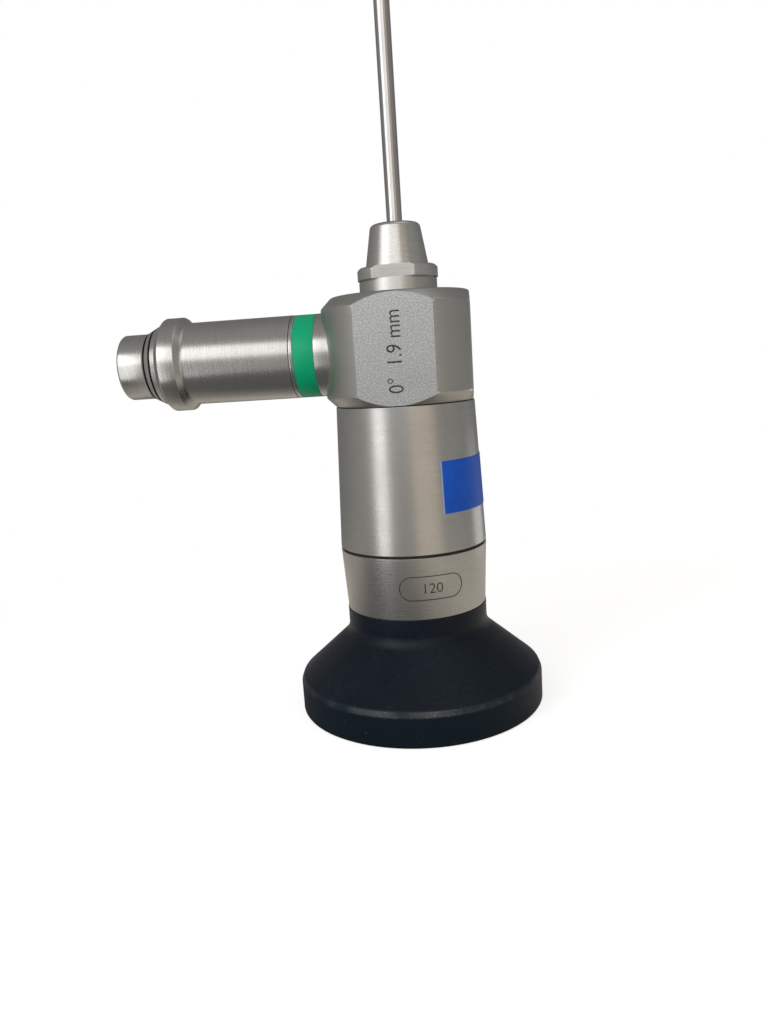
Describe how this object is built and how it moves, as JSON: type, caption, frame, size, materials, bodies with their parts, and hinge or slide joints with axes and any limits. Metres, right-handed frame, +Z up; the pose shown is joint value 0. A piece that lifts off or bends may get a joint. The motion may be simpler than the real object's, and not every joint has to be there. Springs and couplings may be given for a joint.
{
  "type": "rigid endoscope",
  "caption": "Small-diameter rigid endoscope with a black eyecup, steel body, chamfered block, side light post with screwed adapter and a long thin optical shaft.",
  "frame": {"origin": "centre of the eyecup's rest face, on the optical axis", "axes": "+Z up the shaft towards the tip, -X out along the light post, -Y out of the marked flat of the block"},
  "size_m": [0.0521, 0.032, 0.1612],
  "materials": {
    "black_polymer": "fine satin, worn at the rim",
    "satin_steel": "satin, finely turned",
    "blasted_steel": "bead blasted",
    "turned_steel": "turned",
    "polished_steel": "polished",
    "bush_brass": "turned",
    "black_anodised": "black anodised",
    "dark_seal": "matte",
    "green_ring": "smooth inlay",
    "blue_tape": "adhesive marking tape",
    "optical_glass": "polished",
    "fibre_glass": "bundled light fibres"
  },
  "bodies": {
    "scope": {"eyecup": "black_polymer", "window_seat": "turned_steel", "eyepiece_window": "optical_glass", "ocular_ring": "satin_steel", "lower_gasket": "dark_seal", "lens_cell": "black_anodised", "cell_lock_ring": "black_anodised", "lens_retainer": "black_anodised", "ocular_lenses": "optical_glass", "lens_spacer": "black_anodised", "stop_spacer": "black_anodised", "field_stop": "black_anodised", "optic_bush": "bush_brass", "body_sleeve": "satin_steel", "marking_tape": "blue_tape", "upper_gasket": "dark_seal", "housing_block": "blasted_steel", "cone_socket": "satin_steel", "shaft_tube": "polished_steel", "optic_tube": "turned_steel", "shaft_fibres": "fibre_glass", "distal_window": "optical_glass", "objective_lenses": "optical_glass", "rod_lenses": "optical_glass", "rod_spacers": "turned_steel", "light_post": "satin_steel", "colour_ring": "green_ring", "adapter_seal": "dark_seal", "fibre_ferrule": "turned_steel", "light_window": "optical_glass", "fibre_bundle": "fibre_glass"},
    "adapter": {"light_adapter": "satin_steel"}
  },
  "joints": [
    {"name": "adapter_unscrew", "type": "slide", "parent": "scope", "child": "adapter", "axis": [-1, 0, 0], "range_m": [0, 0.024]}
  ]
}
